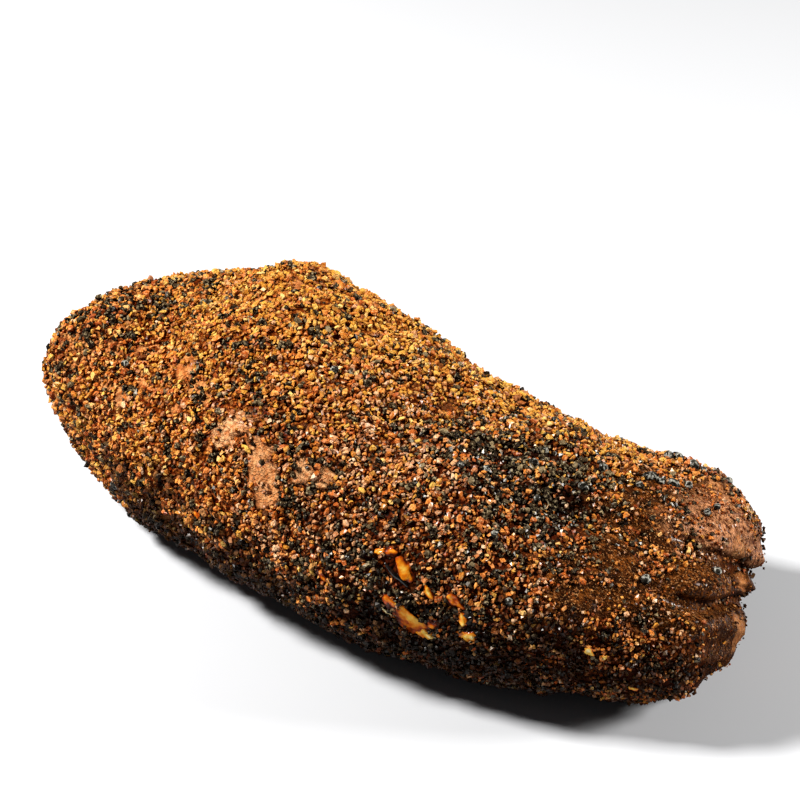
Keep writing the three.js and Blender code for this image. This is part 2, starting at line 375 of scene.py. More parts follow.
def thin_crust(points):
    """1 where the crust has thinned to single grains: the front of the thin end, its top and its tip."""
    x, y, z = points.T
    share = np.maximum(near(points, **THIN_FRONT), HOLLOW_SHARE * near(points, **THIN_HOLLOW))
    share = share + 0.12 * noise(points, 16, 5)
    top = ease(THIN_TOP["x"], x + 10 * noise(points, 14, 6)) * ease(THIN_TOP["z"], z)
    ragged_y = y + 8 * noise(points, 12, 7)
    tip = ease(THIN_TIP["x"], x + 5 * noise(points, 12, 6)) * ease(THIN_TIP["y"], ragged_y)
    return np.maximum(ease(THIN_RIM, share), np.maximum(top, tip))


# %% The pinkish lobe and the golden top
FAR_LOBE = dict(x=(138, 164), above_cleft=(-4, 8))
GOLDEN_LIT_TOP = dict(y=(-30, 30), z=(45, 90), from_x=(-150, -95), to_x=(138, 98))
LIT_CREST, LIT_CREST_SHARE = (95, 125), 0.35


def tip_share(points):
    """1 on the far lobe, above the first cleft, where the meat is pinkish."""
    x, y, z = points.T
    above = z + CLEFTS[0]["climb"] * y - CLEFTS[0]["height"]
    return ease(FAR_LOBE["x"], x) * ease(FAR_LOBE["above_cleft"], above)


def golden_and_lit_share(points):
    """1 on the far side of the top and on the crest, where the crust is rich in golden chips: partly its
    own mix, partly a painted highlight where light falls on the top.
    """
    x, y, z = points.T
    far_top = ease(GOLDEN_LIT_TOP["y"], y) * ease(GOLDEN_LIT_TOP["z"], z)
    far_top = far_top * ease(GOLDEN_LIT_TOP["from_x"], x) * ease(GOLDEN_LIT_TOP["to_x"], x)
    return np.maximum(far_top, LIT_CREST_SHARE * ease(LIT_CREST, z))


# %% Juice and painted shade low down, and wetness
JUICE_AND_SHADE_HEIGHTS = (84, 8)
DRY_TIP = dict(x=(135, 178), share=0.5)
BROWN_END = dict(x=(-90, -160), share=0.55)
STAINED_AND_SHADED_END = dict(x=(-168, -188), share=0.2)
WET_ALONG, WET_LEAST = (-50, 40), 0.3
DOUBT_LEAST, DOUBT_SPREAD = 0.08, 0.6
STAIN_EDGE, SOME_JUICE_AND_SHADE = (-0.2, 0.2), (0, 0.15)


def juice_and_shade_share(points):
    """1 low on the roast, which is painted darker there: gathered juices and painted shade."""
    x = points[:, 0]
    patchy = 9 * noise(points, 26, 9) + 10 * noise(points, 7, 29)
    towards_tip = 1 - DRY_TIP["share"] * ease(DRY_TIP["x"], x)
    towards_end = 1 - BROWN_END["share"] * ease(BROWN_END["x"], x)
    low = towards_tip * towards_end * ease(JUICE_AND_SHADE_HEIGHTS, points[:, 2] + patchy)
    return np.maximum(low, STAINED_AND_SHADED_END["share"] * ease(STAINED_AND_SHADED_END["x"], x + patchy))


def wet_share(points):
    """How wet the crust is: dry on the thick end and the top, wet low down and at the thin end."""
    return WET_LEAST + (1 - WET_LEAST) * np.maximum(ease(WET_ALONG, points[:, 0]), juice_and_shade_share(points))


def grain_stain_and_shade(points):
    """How dark each grain is painted: nearly all or nothing, more often low down, as juice stain and
    painted shade.
    """
    juice = juice_and_shade_share(points)
    blotches = 0.4 * noise(points, 9, 33) + 0.4 * noise(points, 19, 34)
    doubt = DOUBT_LEAST + DOUBT_SPREAD * random.random(len(points)) - blotches
    return ease(STAIN_EDGE, juice - doubt) * ease(SOME_JUICE_AND_SHADE, juice)


# %% [markdown]
# ## The meat as a mesh
#
# A ball made of a subdivided icosahedron has nearly even triangles and no poles, so the relief looks
# the same everywhere. Blender's own one only comes in steps of four times, so this cell cuts each of
# the twenty faces into as many rows as wanted.

# %% Directions on a ball
def ball(rows):
    """Unit directions and triangles of an icosahedron with each face cut into rows."""
    golden = (1 + math.sqrt(5)) / 2
    corners = [(0, a, b * golden) for a in (-1, 1) for b in (-1, 1)]
    corners = np.array([np.roll(corner, turn) for turn in range(3) for corner in corners], float)
    gaps = np.linalg.norm(corners[:, None] - corners[None], axis=2)
    touching = (gaps > 0.1) & (gaps < 2.1)
    points, faces = [], []
    for a in range(12):
        for b in range(a + 1, 12):
            for c in range(b + 1, 12):
                if not (touching[a, b] and touching[b, c] and touching[a, c]):
                    continue
                one, two, three = corners[a], corners[b], corners[c]
                if np.dot(np.cross(two - one, three - one), one) < 0:
                    two, three = three, two
                first = sum(len(part) for part in points)
                steps = [(i, j) for i in range(rows + 1) for j in range(rows + 1 - i)]
                number = {step: first + k for k, step in enumerate(steps)}
                grid = np.array(steps, float) / rows
                points.append(one + grid[:, :1] * (two - one) + grid[:, 1:] * (three - one))
                for i, j in steps:
                    if i + j < rows:
                        faces.append((number[i, j], number[i + 1, j], number[i, j + 1]))
                    if i + j < rows - 1:
                        faces.append((number[i + 1, j], number[i + 1, j + 1], number[i, j + 1]))
    points = np.concatenate(points)
    points /= np.linalg.norm(points, axis=1)[:, None]
    _, kept, place = np.unique(np.round(points, 6), axis=0, return_index=True, return_inverse=True)
    return points[kept], place.reshape(-1)[np.array(faces)]


def vertex_normals(points, faces):
    """Outward normals at the points, from the faces around each."""
    a, b, c = (points[faces[:, k]] for k in range(3))
    across = np.cross(b - a, c - a)
    normals = np.zeros_like(points)
    for axis in range(3):
        for k in range(3):
            normals[:, axis] += np.bincount(faces[:, k], across[:, axis], len(points))
    return normals / np.linalg.norm(normals, axis=1)[:, None]


# %% [markdown]
# ## Fine relief
#
# On top of the solid's relief the dressed meat gets what is too fine for it: a pebbly crust, fibres
# that run along the muscle, and sharp slits at the bottom of the clefts. Two lobes at the tip also
# swell a few mm more than the solid's, to follow the real outline there. The underside is held a
# little above the table, because the roast really rests on its own grains.

# %% The fine relief
CRUST_THICKNESS = 1.9
SLIT_DEPTH = 1.8
SLIT_HALF_WIDTH = 1.3
CRUST_PEBBLES = 0.95
BARE_PEBBLES = 0.5
FIBRE_HEIGHT = 0.7
CREASE = dict(start=(182, 30, 54), end=(180, 52, 33), depth=2.2, half_width=1.3)
PATCH_SUNK = 0.5
TIP_SWELLINGS = [
    dict(at=(179, 59, 38), reach=(13, 12, 6), height=4.6),
    dict(at=(186, 30, 20), reach=(16, 14, 14), height=2.0),
    dict(at=(181, 60, 26), reach=(10, 10, 5), height=-1.8),
]


def fine_relief(points):
    """The relief that only the dressed meat has, in mm, down to the bottom of the crust."""
    bare = np.maximum(patch_mask(points), 0.8 * thin_crust(points))
    pebbles = two_noises(points, 8, 4.5, 11, 0.7)
    height = (CRUST_PEBBLES + (BARE_PEBBLES - CRUST_PEBBLES) * bare) * pebbles
    slanted = points @ np.array([[1, 0, 0], [0.15, 1, 0], [0.1, 0, 1]])
    fibres = two_noises(slanted, (18, 4.2, 4.2), (10, 2.6, 2.6), 13)
    height += FIBRE_HEIGHT * bare * fibres
    height -= CRUST_THICKNESS * (1 - 0.6 * bare) + PATCH_SUNK * patch_mask(points)
    for swelling in TIP_SWELLINGS:
        height += swelling["height"] * near(points, swelling["at"], swelling["reach"])
    for cleft in CLEFTS:
        slit = bell(off_cleft(points, cleft) + 0.6 * noise(points, 8, 15), SLIT_HALF_WIDTH)
        height -= SLIT_DEPTH * ease(cleft["starts"], points[:, 0]) * slit
    start, end = np.array(CREASE["start"], float), np.array(CREASE["end"], float)
    along_it = np.clip((points - start) @ (end - start) / ((end - start) @ (end - start)), 0, 1)
    off_it = np.linalg.norm(points - start - along_it[:, None] * (end - start), axis=1)
    return height - CREASE["depth"] * bell(off_it, CREASE["half_width"])


# %% The dressed meat
MEAT_ROWS = 96
THIN_END_CROWDING = 0.3
UNDERSIDE = 1.2

directions, meat_faces = ball(MEAT_ROWS)
directions[:, 0] += THIN_END_CROWDING
directions /= np.linalg.norm(directions, axis=1)[:, None]
meat_points = plain_form(directions)
meat_points += vertex_normals(meat_points, meat_faces) * relief(meat_points)[:, None]
meat_points += vertex_normals(meat_points, meat_faces) * fine_relief(meat_points)[:, None]
meat_points[:, 2] = np.maximum(meat_points[:, 2], UNDERSIDE)
meat_normals = vertex_normals(meat_points, meat_faces)
print("meat:", len(meat_points), "points,", len(meat_faces), "triangles")

# %% [markdown]
# ## From arrays to a Blender mesh
#
# Blender takes whole arrays through foreach_set, which is hundreds of times faster than adding points
# one by one. Each piece can carry named numbers on its points, which the materials read later.

# %% Making a piece
def make_piece(name, points, faces, smooth, numbers=None):
    """A mesh object from points in the form's mm and triangles, riding on the roast."""
    mesh = bpy.data.meshes.new(name)
    mesh.vertices.add(len(points))
    mesh.vertices.foreach_set("co", ((points - MIDDLE) * MM).astype(np.float32).ravel())
    mesh.loops.add(3 * len(faces))
    mesh.loops.foreach_set("vertex_index", faces.astype(np.int32).ravel())
    mesh.polygons.add(len(faces))
    mesh.polygons.foreach_set("loop_start", np.arange(0, 3 * len(faces), 3, dtype=np.int32))
    mesh.polygons.foreach_set("use_smooth", np.full(len(faces), smooth))
    mesh.update(calc_edges=True)
    for key, values in (numbers or {}).items():
        layer = mesh.attributes.new(key, "FLOAT", "POINT")
        layer.data.foreach_set("value", values.astype(np.float32))
    mesh.validate()
    piece = bpy.data.objects.new(name, mesh)
    bpy.context.scene.collection.objects.link(piece)
    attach(piece, "root")
    print(name, "has", len(faces), "triangles")
    return piece


meat = make_piece("meat", meat_points, meat_faces, True, {
    "bare": np.maximum(patch_mask(meat_points), thin_crust(meat_points)),
    "patch": patch_mask(meat_points),
    "rubbed": rubbed_share(meat_points),
    "pale": pale_share(meat_points),
    "juice": juice_and_shade_share(meat_points),
    "tip": tip_share(meat_points),
    "golden": golden_and_lit_share(meat_points),
    "dark": dark_share(meat_points),
    "shade": shade_share(meat_points),
    "wet": wet_share(meat_points),
})
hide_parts(NODE)

# %% [markdown]
# ## Fat that has set, and a dark strip
#
# On the near side a seam of fat has melted and set again as amber lumps. A nearly black glossy strip runs
# between them, and a few small scraps of pale fat lie about. A scan of real lumps would give more folds,
# but a ball that noise has dented is enough at this size. They are made before the grains, so that the
# grains can keep off them.

# %% Where the lumps lie
FAT_LUMPS = [
    dict(at=(69, -81, 51), way=(17, 3, -16), size=(10.5, 6.2, 1.8), tone=0.56),
    dict(at=(59, -83, 61), way=(8, 0, -8), size=(5.4, 3.2, 1.4), tone=0.34),
    dict(at=(76, -77, 45), way=(5, 2, -3), size=(4.0, 2.8, 1.5), tone=0.80),
    # This thin cream sliver stands in for a glint: a painted highlight.
    dict(at=(57, -83, 53), way=(8, 0, -5), size=(4.5, 0.9, 0.9), tone=0.95),
    dict(at=(63, -76, 76), way=(8, -2, -7), size=(6.8, 4.2, 1.2), tone=0.42),
    dict(at=(75, -75, 70), way=(5, 0, -4), size=(3.8, 2.1, 1.0), tone=0.26),
    dict(at=(54, -74, 83), way=(5, -1, 1), size=(4.2, 2.6, 1.0), tone=0.24),
    dict(at=(48, -75, 81), way=(3, 0, 3), size=(2.6, 1.8, 0.9), tone=0.42),
    dict(at=(80, -77, 52), way=(3, 1, 3), size=(3.8, 2.8, 1.0), tone=0.22),
    dict(at=(89, -72, 68), way=(6, 0, -3), size=(4.4, 2.6, 0.9), tone=0.40),
    dict(at=(94, -74, 61), way=(3, 0, -6), size=(4.0, 2.0, 0.9), tone=0.42),
    dict(at=(98, -75, 51), way=(6, 0, 2), size=(4.2, 2.8, 1.1), tone=0.62),
    dict(at=(151, -51, 52), way=(4, 2, -3), size=(3.0, 1.8, 0.9), tone=0.62),
    dict(at=(157, -48, 49), way=(4, 1, 3), size=(2.2, 1.3, 0.8), tone=0.74),
    dict(at=(170, -41, 30), way=(5, 2, -1), size=(2.4, 1.3, 0.8), tone=0.60),
    dict(at=(-20, -11, 122), way=(2, 4, 0), size=(2.8, 1.5, 1.1), tone=1.0),
    dict(at=(22, -86, 62), way=(4, 0, -4), size=(3.4, 1.9, 0.9), tone=0.24),
    dict(at=(-58, -82, 62), way=(5, -1, -3), size=(3.6, 2.0, 0.9), tone=0.20),
]
print("lumps of fat:", len(FAT_LUMPS))

# %% Making the lumps
FAT_ROWS = 7
FAT_RAISED = 0.6
# Painted light and shade: each lump is paler towards its top and darker towards its rim.
RIM_SHADE_AND_TOP_LIGHT = 1.0
LUMP_DENTS = 0.5
TOP_OF_LUMP = 0.8
PATTERN_SCALE, PATTERN_STEP = 10, 40


def on_meat(places):
    """The meat's points nearest to some places, with their normals."""
    nearest = [int(np.argmin(((meat_points - np.array(place)) ** 2).sum(axis=1))) for place in places]
    return meat_points[nearest], meat_normals[nearest]


def lump_axes(lump):
    """The middle of a lump on the meat, and its long, cross and upward axes as rows."""
    (middle,), (up,) = on_meat([lump["at"]])
    way = np.array(lump["way"], float)
    way -= up * (way @ up)
    way /= np.linalg.norm(way)
    return middle, np.stack([way, np.cross(up, way), up])


def fat_lump(lump, number):
    """One lump's points, with how pale each is: palest on top and as dark as the crust at its rim, as
    painted light on top and painted shade at the rim.
    """
    middle, axes = lump_axes(lump)
    size = np.array(lump["size"])
    pattern = fat_ball * PATTERN_SCALE + PATTERN_STEP * number
    wobble = two_noises(pattern, 9, 4.5, 61)
    points = fat_ball * size * (1 + LUMP_DENTS * wobble)[:, None]
    tone = lump["tone"] + RIM_SHADE_AND_TOP_LIGHT * (fat_ball[:, 2] - TOP_OF_LUMP) + 0.3 * wobble
    return points @ axes + middle + FAT_RAISED * axes[2], tone


fat_ball, fat_faces = ball(FAT_ROWS)
made = [fat_lump(lump, number) for number, lump in enumerate(FAT_LUMPS)]
fat_points = np.concatenate([points for points, tone in made])
joined = np.concatenate([fat_faces + number * len(fat_ball) for number in range(len(FAT_LUMPS))])
fat = make_piece("fat_lumps", fat_points, joined, True, {
    "tone": np.concatenate([tone for points, tone in made]),
    "juice": 0.8 * juice_and_shade_share(fat_points),
})

# %% The dark glossy strip
STRIP_PATH = [(52, -76, 77), (56, -77, 75), (59, -77, 73), (62, -77, 72), (66, -77, 69)]
STRIP_HALF_WIDTH = 1.4
STRIP_HEIGHT = 1.2
STRIP_RINGS, STRIP_SIDES = 25, 8

stations = np.array(STRIP_PATH, float)
spread = np.linspace(-1, 1, STRIP_RINGS)
path = np.stack([along(stations[:, axis], spread) for axis in range(3)], axis=1)
feet, ups = on_meat(path)
path = path - ups * ((path - feet) * ups).sum(axis=1)[:, None] + ups * 0.5 * STRIP_HEIGHT
ways = np.gradient(path, axis=0)
sides = np.cross(ups, ways)
sides /= np.linalg.norm(sides, axis=1)[:, None]
taper = np.sqrt(np.maximum(1 - spread ** 2, 0.02))[:, None, None]
turns = 2 * math.pi * np.arange(STRIP_SIDES)[None, :, None] / STRIP_SIDES
strip = path[:, None] + taper * STRIP_HALF_WIDTH * np.cos(turns) * sides[:, None]
strip = strip + taper * STRIP_HEIGHT * np.sin(turns) * ups[:, None]
strip_faces = []
for ring in range(STRIP_RINGS - 1):
    for side in range(STRIP_SIDES):
        a, b = ring * STRIP_SIDES + side, ring * STRIP_SIDES + (side + 1) % STRIP_SIDES
        strip_faces += [(a, a + STRIP_SIDES, b), (b, a + STRIP_SIDES, b + STRIP_SIDES)]
for first, turn in ((0, 1), ((STRIP_RINGS - 1) * STRIP_SIDES, -1)):
    for side in range(1, STRIP_SIDES - 1):
        strip_faces.append((first, first + side, first + side + 1)[::turn])
strip = make_piece("dark_strip", strip.reshape(-1, 3), np.array(strip_faces), True)

# %% Keeping the grains off them
CLEAR_OF_FAT = 0.8
CLEAR_OF_STRIP = 2 * STRIP_HALF_WIDTH


def on_fat(points):
    """True for points that a lump of fat or the strip covers."""
    covered = np.zeros(len(points), bool)
    for lump in FAT_LUMPS:
        middle, axes = lump_axes(lump)
        local = (points - middle) @ axes.T / (np.array(lump["size"]) * CLEAR_OF_FAT)
        covered |= (local[:, :2] ** 2).sum(axis=1) + 0.1 * local[:, 2] ** 2 < 1
    for place in path:
        covered |= np.linalg.norm(points - place, axis=1) < CLEAR_OF_STRIP
    return covered


# %% [markdown]
# ## Where the grains lie
#
# The crust is built the way a cook builds it. The whole peppercorns are dropped first, then coarse
# grains, and fine ones fill what is left between them. The smallest crumbs only go where the crust is
# thin. A grain that would land too close to an earlier one is left out. A grid of cells keeps this
# quick, because only the neighbouring cells have to be asked.

# %% Dropping grains on the meat
CELL = 3.6


def random_spots(count):
    """Random places spread evenly over the meat, with the normal at each."""
    a, b, c = (meat_points[meat_faces[:, k]] for k in range(3))
    area = np.linalg.norm(np.cross(b - a, c - a), axis=1) / 2
    face = random.choice(len(meat_faces), count, p=area / area.sum())
    s, t = random.random((2, count))
    outside = s + t > 1
    s, t = np.where(outside, 1 - s, s)[:, None], np.where(outside, 1 - t, t)[:, None]
    corner = meat_faces[face]
    spots = (1 - s - t) * meat_points[corner[:, 0]]
    spots = spots + s * meat_points[corner[:, 1]] + t * meat_points[corner[:, 2]]
    normals = (1 - s - t) * meat_normals[corner[:, 0]]
    normals = normals + s * meat_normals[corner[:, 1]] + t * meat_normals[corner[:, 2]]
    return spots, normals / np.linalg.norm(normals, axis=1)[:, None]


def settle(spots, radii, closeness):
    """The numbers of the spots that stay, when each keeps clear of the ones before it."""
    cells = {}
    kept = []
    keys = np.floor(spots / CELL).astype(int).tolist()
    places, sizes = spots.tolist(), radii.tolist()
    around = [(i, j, k) for i in (-1, 0, 1) for j in (-1, 0, 1) for k in (-1, 0, 1)]
    for number, (key, (x, y, z), radius) in enumerate(zip(keys, places, sizes)):
        clear = True
        for i, j, k in around:
            for px, py, pz, other in cells.get((key[0] + i, key[1] + j, key[2] + k), ()):
                gap = closeness * (radius + other)
                if (px - x) ** 2 + (py - y) ** 2 + (pz - z) ** 2 < gap * gap:
                    clear = False
                    break
            if not clear:
                break
        if clear:
            cells.setdefault(tuple(key), []).append((x, y, z, radius))
            kept.append(number)
    return np.array(kept)


# %% Whole peppercorns first
PEPPERCORN_RADII = (1.7, 2.3)
PEPPERCORN_TRIES = 900
PEPPERCORN_CHANCE = 0.015
CHANCE_WHERE_DARK = 0.1
LOWEST_PEPPERCORN = 8
NAMED_PEPPERCORNS = [
    (133, 72, 74, 3.0), (139, 75, 73, 1.9), (129, 34, 90, 2.6), (131, 38, 88, 2.6), (137, 37, 88, 2.1),
    (139, 43, 85, 2.9), (130, 26, 91, 1.7), (144, 50, 79, 2.3), (162, 45, 78, 1.7), (161, 40, 78, 1.9),
    (149, 82, 66, 2.1), (122, 71, 78, 2.6), (126, 74, 77, 2.1), (158, -14, 74, 2.5), (110, 24, 96, 2.2),
    (86, 0, 104, 2.4), (113, 4, 96, 2.2),
]

spots, normals = random_spots(PEPPERCORN_TRIES)
chance = PEPPERCORN_CHANCE + CHANCE_WHERE_DARK * dark_share(spots)
allowed = (spots[:, 2] > LOWEST_PEPPERCORN) & ~on_fat(spots)
wanted = random.random(PEPPERCORN_TRIES) < chance * allowed
named = on_meat([corn[:3] for corn in NAMED_PEPPERCORNS])
spots, normals = (np.concatenate(pair) for pair in zip(named, (spots[wanted], normals[wanted])))
radii = random.uniform(*PEPPERCORN_RADII, len(spots))
radii[:len(NAMED_PEPPERCORNS)] = [corn[3] for corn in NAMED_PEPPERCORNS]
peppercorns = spots, normals, radii
print("whole peppercorns:", len(spots))

# %% Sizes of the grains
COARSE_TRIES = 12000
COARSE_RADII = (1.35, 2.1)
FINE_TRIES = 160000
FINE_RADII = (0.7, 1.35)
TINY_TRIES = 100000
TINY_RADII = (0.48, 0.72)
MOSTLY_SMALL = 0.9
SMALLER_TOWARDS_THIN_END = [dict(x=(-50, 20), share=0.08), dict(x=(110, 145), share=0.15)]


def sorted_tries(count, limits):
    """Tries at random spots, the largest radius first."""
    spots, normals = random_spots(count)
    radii = limits[0] + (limits[1] - limits[0]) * random.random(count) ** MOSTLY_SMALL
    for step in SMALLER_TOWARDS_THIN_END:
        radii = radii * (1 - step["share"] * ease(step["x"], spots[:, 0]))
    order = np.argsort(-radii, kind="stable")
    return spots[order], normals[order], radii[order]


# %% How many grains have stayed on
WHOLE, COARSE, FINE, TINY = range(4)
LEFT_ON_PATCHES = 0.14
LEFT_ON_RUBBED = 0.4
LEFT_IN_PITS = 0.55
LEFT_ON_THIN_CRUST = (0.12, 0.75)
LEFT_CLUSTERS = (-0.3, 0.6)
BARE_TIP = dict(x=(160, 178), y=(-30, 0))
LEFT_ON_TIP = 0.10
TINY_LEFT, FEWER_ON_TIP = 0.5, 0.6
LEFT_UNDERNEATH, HEIGHT_UNDERNEATH = 0.5, 2


def share_left(points, layer):
    """The share of the grains that have stayed on, low where the meat is bare, none large at the tip."""
    cluster = ease(LEFT_CLUSTERS, two_noises(points, 9, 4, 41, 0.7))
    low, high = LEFT_ON_THIN_CRUST
    left = 1 - thin_crust(points) * (1 - low - (high - low) * cluster)
    on_tip = ease(BARE_TIP["x"], points[:, 0]) * ease(BARE_TIP["y"], points[:, 1])
    left = left * (1 - (1 - LEFT_ON_TIP * (layer != COARSE)) * on_tip)
    left = np.where(layer == TINY, TINY_LEFT * (1 - FEWER_ON_TIP * on_tip), left)
    left = np.minimum(left, 1 - (1 - LEFT_ON_RUBBED) * rubbed_share(points))
    left = np.minimum(left, 1 - (1 - LEFT_IN_PITS) * pit_share(points))
    left = np.minimum(left, 1 - (1 - LEFT_ON_PATCHES) * patch_mask(points))
    left = np.where(on_fat(points), 0, left)
    return np.where(points[:, 2] < HEIGHT_UNDERNEATH, LEFT_UNDERNEATH, left)


# %% Three sizes of grain, each kept clear of the ones before
CLOSENESS = 0.53

tries = [peppercorns, sorted_tries(COARSE_TRIES, COARSE_RADII), sorted_tries(FINE_TRIES, FINE_RADII)]
tiny = sorted_tries(TINY_TRIES, TINY_RADII)
on_thin = thin_crust(tiny[0]) > random.random(TINY_TRIES)
tries.append([part[on_thin] for part in tiny])
layer = np.repeat([WHOLE, COARSE, FINE, TINY], [len(part[0]) for part in tries])
spots, normals, radii = (np.concatenate(parts) for parts in zip(*tries))
kept = settle(spots, radii, CLOSENESS)
whole = kept[layer[kept] == WHOLE]
kept = kept[layer[kept] != WHOLE]
kept = kept[random.random(len(kept)) < share_left(spots[kept], layer[kept])]
peppercorns = spots[whole], normals[whole], radii[whole]
spots, normals, radii, layer = spots[kept], normals[kept], radii[kept], layer[kept]
coarse = layer == COARSE
for size, number in {"coarse": COARSE, "fine": FINE, "tiny": TINY}.items():
    print(size, "grains:", int((layer == number).sum()))

# %% [markdown]
# ## Which grain goes where
#
# The mix isn't even. The far side of the top is rich in golden chips, partly a painted highlight where
# light falls on the top. The hollow towards the thin end and the lower middle are nearly black, and the
# thick end has more gold and amber again. Each kind gets a weight that changes over the roast, with some
# noise so that grains of a kind gather in small groups.

# %% Sharing the spots between the kinds
BLACK_CLUSTERS = (0.24, 0.55)
MOST_DARK = 1.2
LEAST_WEIGHT = 0.03
PLAIN_TOP = dict(at=(-20, -32, 120), reach=(32, 32, 32))
TAN_FRONT = dict(at=(10, -60, 98), reach=(64, 42, 38))


def kind_weights(points, coarse, tiny):
    """The weight of each kind at each point, one column for each name in KINDS."""
    golden_and_lit_here, dark = golden_and_lit_share(points), np.minimum(dark_share(points), MOST_DARK)
    fully_dark = np.minimum(dark, 1)
    few_coarse = np.where(coarse, 0.6, 1.0)
    left_end = ease((-30, -110), points[:, 0])
    cluster = two_noises(points, 6, 3, 22, 0.8) + 0.55 * dark
    black = 0.08 + 1.1 * dark + 3 * ease(BLACK_CLUSTERS, cluster)
    black = black * np.where(coarse, 1.5, 0.9) * (1 - 0.8 * near(points, **PLAIN_TOP))
    black = black * (1 - 0.3 * left_end) * (1 - 0.25 * golden_and_lit_here)
    black = black * np.where(tiny, 0.3, 1.0)
    golden = 0.11 + 1.15 * golden_and_lit_here + 0.25 * left_end + 0.2 * noise(points, 9, 21)
    amber = 0.22 + 0.5 * golden_and_lit_here + 0.25 * left_end + 0.2 * noise(points, 8, 27)
    rusty = 0.30 + 0.25 * noise(points, 10, 24) - 0.15 * golden_and_lit_here
    orange = 0.44 + 0.25 * noise(points, 7, 26) - 0.15 * golden_and_lit_here
    brown = (0.22 + 0.25 * noise(points, 8, 25)) * few_coarse
    tan = 0.08 + 1.8 * near(points, **TAN_FRONT) + 0.35 * ease((-40, 40), points[:, 0])
    tan = tan + 0.4 * ease((140, 170), points[:, 0])
    tan = tan * (0.6 + 0.8 * noise(points, 7, 28)) * few_coarse * (1 - 0.35 * fully_dark)
    yellow = 1 - 0.75 * fully_dark
    kinds = [black, golden * yellow, amber * yellow, rusty, orange, brown, tan]
    return np.maximum(np.stack(kinds, axis=1), LEAST_WEIGHT)


KINDS = [
    "black_pepper", "golden_chips", "amber_chips", "rusty_grains", "orange_grains", "brown_grains",
    "tan_crumbs",
]
weights = kind_weights(spots, coarse, layer == TINY)
ladder = np.cumsum(weights / weights.sum(axis=1)[:, None], axis=1)
kind_of = (random.random(len(spots))[:, None] > ladder).sum(axis=1)
for number, name in enumerate(KINDS):
    print(name, "gets", int((kind_of == number).sum()), "spots")

# %% [markdown]
# ## The shape of a grain
#
# A coarse grain is a small angular stone, made from an icosahedron of twenty flat faces. There are
# five times as many fine ones, so each is a block of only twelve triangles. Both are shaded flat,
# because crushed pepper breaks into facets that glint, and smooth grains look like beads. The corners
# are pushed about at random, then the grain is flattened, turned and partly sunk into the meat. All
# grains of a kind are worked out together, as one array of grains by corners, and become one mesh.

# %% Building grains
CLUMP_HEIGHT = 1.2
LENGTHS = (0.95, 1.35)
BLOCK_CORNER = 0.68


def block():
    """A cube of twelve triangles, about as large as the ball of radius 1."""
    corners = np.array([(x, y, z) for x in (-1, 1) for y in (-1, 1) for z in (-1, 1)], float)
    faces = [(0, 1, 3), (0, 3, 2), (4, 6, 7), (4, 7, 5), (0, 4, 5), (0, 5, 1)]
    faces += [(2, 3, 7), (2, 7, 6), (0, 2, 6), (0, 6, 4), (1, 5, 7), (1, 7, 3)]
    return corners * BLOCK_CORNER, np.array(faces)


def turned(normals, lean):
    """A random turn for each grain that lays its third axis near the normal there."""
    count = len(normals)
    up = normals + lean * random.normal(size=(count, 3))
    up /= np.linalg.norm(up, axis=1)[:, None]
    side = np.cross(up, random.normal(size=(count, 3)))
    side /= np.linalg.norm(side, axis=1)[:, None]
    return np.stack([side, np.cross(up, side), up], axis=1)


def grains(name, places, shape, widths, thickness, lean, raised, ragged, smooth=False):
    """One mesh of grains at some places, each a ragged copy of a shape."""
    spots, normals, radii = places
    corners, faces = shape
    count = len(spots)
    local = corners[None] + ragged * random.uniform(-1, 1, (count, len(corners), 3))
    size = np.stack([
        random.uniform(*LENGTHS, count),
        random.uniform(*widths, count),
        random.uniform(*thickness, count),
    ], axis=1)
    local = local * (size * radii[:, None])[:, None, :]
    points = np.einsum("gcl,glw->gcw", local, turned(normals, lean))
    clump = two_noises(spots, 6, 3, 31, 0.7)
    lift = radii * size[:, 2] * random.uniform(*raised, count) + CLUMP_HEIGHT * clump
    height = np.einsum("gcw,gw->gc", points, normals) + lift[:, None]
    points = points + (spots + normals * lift[:, None])[:, None, :]
    points[:, :, 2] = np.maximum(points[:, :, 2], 0)
    first = np.arange(count)[:, None, None] * len(corners)
    joined = (faces[None] + first).reshape(-1, 3)
    return make_piece(name, points.reshape(-1, 3), joined, smooth, {
        "tone": np.repeat(random.random(count), len(corners)),
        "height": height.reshape(-1),
        "juice": np.repeat(grain_stain_and_shade(spots), len(corners)),
        "wet": np.repeat(wet_share(spots), len(corners)),
    })


# %% A mesh for each kind and size
CHIP_WIDTHS, GRAIN_WIDTHS = (0.45, 0.9), (0.6, 1.0)
COARSE_FORM = dict(thickness=(0.6, 0.95), lean=0.6, raised=(0.4, 1.1), ragged=0.32)
FINE_FORM = dict(thickness=(0.6, 1.0), lean=0.9, raised=(0.2, 1.3), ragged=0.34)
WHOLE_FORM = dict(widths=(0.9, 1.0), thickness=(0.85, 1.0), lean=1.0, raised=(0.5, 0.9), ragged=0.05)
STONE_ROWS, PEPPERCORN_ROWS = 1, 3

sizes = {
    "coarse_": (coarse, ball(STONE_ROWS), COARSE_FORM),
    "fine_": (~coarse, block(), FINE_FORM),
}
pieces = {}
for number, name in enumerate(KINDS):
    widths = CHIP_WIDTHS if "chips" in name else GRAIN_WIDTHS
    for size, (which, shape, form) in sizes.items():
        mine = (kind_of == number) & which
        places = spots[mine], normals[mine], radii[mine]
        pieces[size + name] = grains(size + name, places, shape, widths, **form)
pieces["whole_peppercorns"] = grains(
    "whole_peppercorns", peppercorns, ball(PEPPERCORN_ROWS), smooth=True, **WHOLE_FORM)

# %% [markdown]
# ## Shader maths
#
# Node trees are easier to read as sums. This class wraps one output socket, and the operators on it
# add Math nodes, so that a mask can be written as 1 - bare * 0.5. Everything that isn't a sum comes
# from one method that makes any node from its type, its settings and what goes into its sockets.

